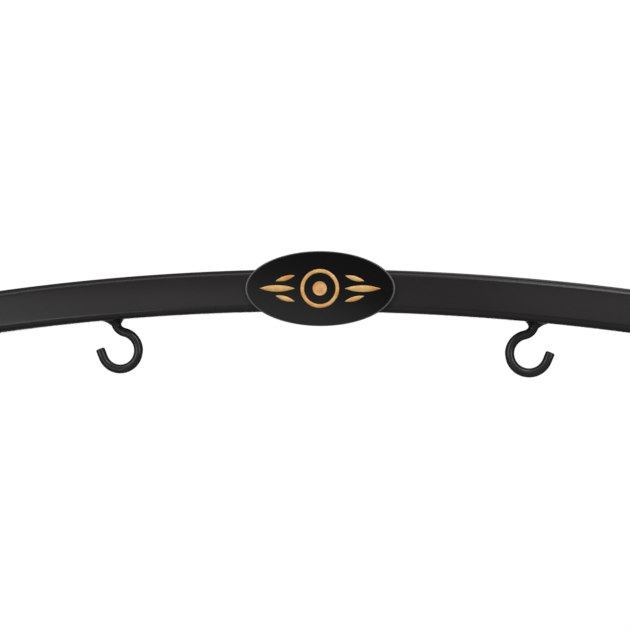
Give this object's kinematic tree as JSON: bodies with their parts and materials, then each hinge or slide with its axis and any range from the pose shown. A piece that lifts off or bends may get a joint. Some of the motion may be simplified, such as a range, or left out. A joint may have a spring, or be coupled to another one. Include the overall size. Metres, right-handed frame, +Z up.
{
  "type": "gong stand",
  "caption": "Floor stand for a gong: arched square-tube frame with two open hooks and an oval badge, on two feet with locking swivel casters.",
  "frame": {"origin": "on the floor under the middle of the stand, the centre of the bounding box's bottom", "axes": "+X along the stand's width, +Y to the back, +Z up; the badge faces -Y"},
  "size_m": [0.9766, 0.6454, 1.4122],
  "materials": {
    "powder_coat": "satin black powder coat with a faint orange peel",
    "badge_enamel": "semi-gloss black enamel with a thin bare bevel",
    "gold_inlay": "satin gold-coloured brass",
    "foam_pad": "black foam adhesive pad",
    "zinc_plate": "bright zinc-plated pressed steel",
    "black_oxide": "black oxide steel, lightly oiled",
    "moulded_black": "fine-textured moulded black plastic",
    "hub_grey": "moulded grey plastic",
    "tyre_rubber": "matt black thermoplastic rubber"
  },
  "bodies": {
    "frame": {"top_arch": "powder_coat", "left_shoulder": "powder_coat", "right_shoulder": "powder_coat", "left_hook": "powder_coat", "right_hook": "powder_coat", "badge_plate": "badge_enamel", "badge_ornament": "gold_inlay", "badge_pad": "foam_pad", "left_upright": "powder_coat", "right_upright": "powder_coat", "left_spigot": "zinc_plate", "right_spigot": "zinc_plate", "arch_bolts": "black_oxide", "arch_nuts": "black_oxide", "left_foot_tube": "powder_coat", "right_foot_tube": "powder_coat", "left_socket": "powder_coat", "right_socket": "powder_coat", "left_gussets": "powder_coat", "right_gussets": "powder_coat", "foot_end_caps": "moulded_black", "foot_bolts": "black_oxide", "foot_nuts": "black_oxide", "crossbar_tube": "powder_coat", "crossbar_flanges": "powder_coat", "crossbar_bolts": "black_oxide", "crossbar_nuts": "black_oxide", "frame_washers": "black_oxide", "stem_nuts": "black_oxide", "bearing_balls": "zinc_plate", "front_left_caster_stem": "zinc_plate", "front_right_caster_stem": "zinc_plate", "rear_left_caster_stem": "zinc_plate", "rear_right_caster_stem": "zinc_plate"},
    "front_left_swivel": {"front_left_caster_fork": "zinc_plate", "front_left_caster_axle": "zinc_plate", "front_left_brake_pin": "zinc_plate"},
    "front_left_wheel": {"front_left_caster_hub": "hub_grey", "front_left_caster_tyre": "tyre_rubber"},
    "front_left_pedal": {"front_left_brake_pedal": "moulded_black"},
    "front_right_swivel": {"front_right_caster_fork": "zinc_plate", "front_right_caster_axle": "zinc_plate", "front_right_brake_pin": "zinc_plate"},
    "front_right_wheel": {"front_right_caster_hub": "hub_grey", "front_right_caster_tyre": "tyre_rubber"},
    "front_right_pedal": {"front_right_brake_pedal": "moulded_black"},
    "rear_left_swivel": {"rear_left_caster_fork": "zinc_plate", "rear_left_caster_axle": "zinc_plate", "rear_left_brake_pin": "zinc_plate"},
    "rear_left_wheel": {"rear_left_caster_hub": "hub_grey", "rear_left_caster_tyre": "tyre_rubber"},
    "rear_left_pedal": {"rear_left_brake_pedal": "moulded_black"},
    "rear_right_swivel": {"rear_right_caster_fork": "zinc_plate", "rear_right_caster_axle": "zinc_plate", "rear_right_brake_pin": "zinc_plate"},
    "rear_right_wheel": {"rear_right_caster_hub": "hub_grey", "rear_right_caster_tyre": "tyre_rubber"},
    "rear_right_pedal": {"rear_right_brake_pedal": "moulded_black"}
  },
  "joints": [
    {"name": "front_left_swivel_turn", "type": "hinge", "parent": "frame", "child": "front_left_swivel", "pos_m": [-0.465, -0.265, 0.06], "axis": [0, 0, 1], "continuous": true},
    {"name": "front_left_wheel_spin", "type": "hinge", "parent": "front_left_swivel", "child": "front_left_wheel", "pos_m": [-0.465, -0.285, 0.025], "axis": [1, 0, 0], "continuous": true},
    {"name": "front_left_brake_press", "type": "hinge", "parent": "front_left_swivel", "child": "front_left_pedal", "pos_m": [-0.465, -0.29498, 0.0535], "axis": [1, 0, 0], "range_deg": [0, 11.5]},
    {"name": "front_right_swivel_turn", "type": "hinge", "parent": "frame", "child": "front_right_swivel", "pos_m": [0.465, -0.265, 0.06], "axis": [0, 0, 1], "continuous": true},
    {"name": "front_right_wheel_spin", "type": "hinge", "parent": "front_right_swivel", "child": "front_right_wheel", "pos_m": [0.465, -0.285, 0.025], "axis": [1, 0, 0], "continuous": true},
    {"name": "front_right_brake_press", "type": "hinge", "parent": "front_right_swivel", "child": "front_right_pedal", "pos_m": [0.465, -0.29498, 0.0535], "axis": [1, 0, 0], "range_deg": [0, 11.5]},
    {"name": "rear_left_swivel_turn", "type": "hinge", "parent": "frame", "child": "rear_left_swivel", "pos_m": [-0.465, 0.265, 0.06], "axis": [0, 0, 1], "continuous": true},
    {"name": "rear_left_wheel_spin", "type": "hinge", "parent": "rear_left_swivel", "child": "rear_left_wheel", "pos_m": [-0.465, 0.285, 0.025], "axis": [1, 0, 0], "continuous": true},
    {"name": "rear_left_brake_press", "type": "hinge", "parent": "rear_left_swivel", "child": "rear_left_pedal", "pos_m": [-0.465, 0.29498, 0.0535], "axis": [-1, 0, 0], "range_deg": [0, 11.5]},
    {"name": "rear_right_swivel_turn", "type": "hinge", "parent": "frame", "child": "rear_right_swivel", "pos_m": [0.465, 0.265, 0.06], "axis": [0, 0, 1], "continuous": true},
    {"name": "rear_right_wheel_spin", "type": "hinge", "parent": "rear_right_swivel", "child": "rear_right_wheel", "pos_m": [0.465, 0.285, 0.025], "axis": [1, 0, 0], "continuous": true},
    {"name": "rear_right_brake_press", "type": "hinge", "parent": "rear_right_swivel", "child": "rear_right_pedal", "pos_m": [0.465, 0.29498, 0.0535], "axis": [-1, 0, 0], "range_deg": [0, 11.5]}
  ]
}
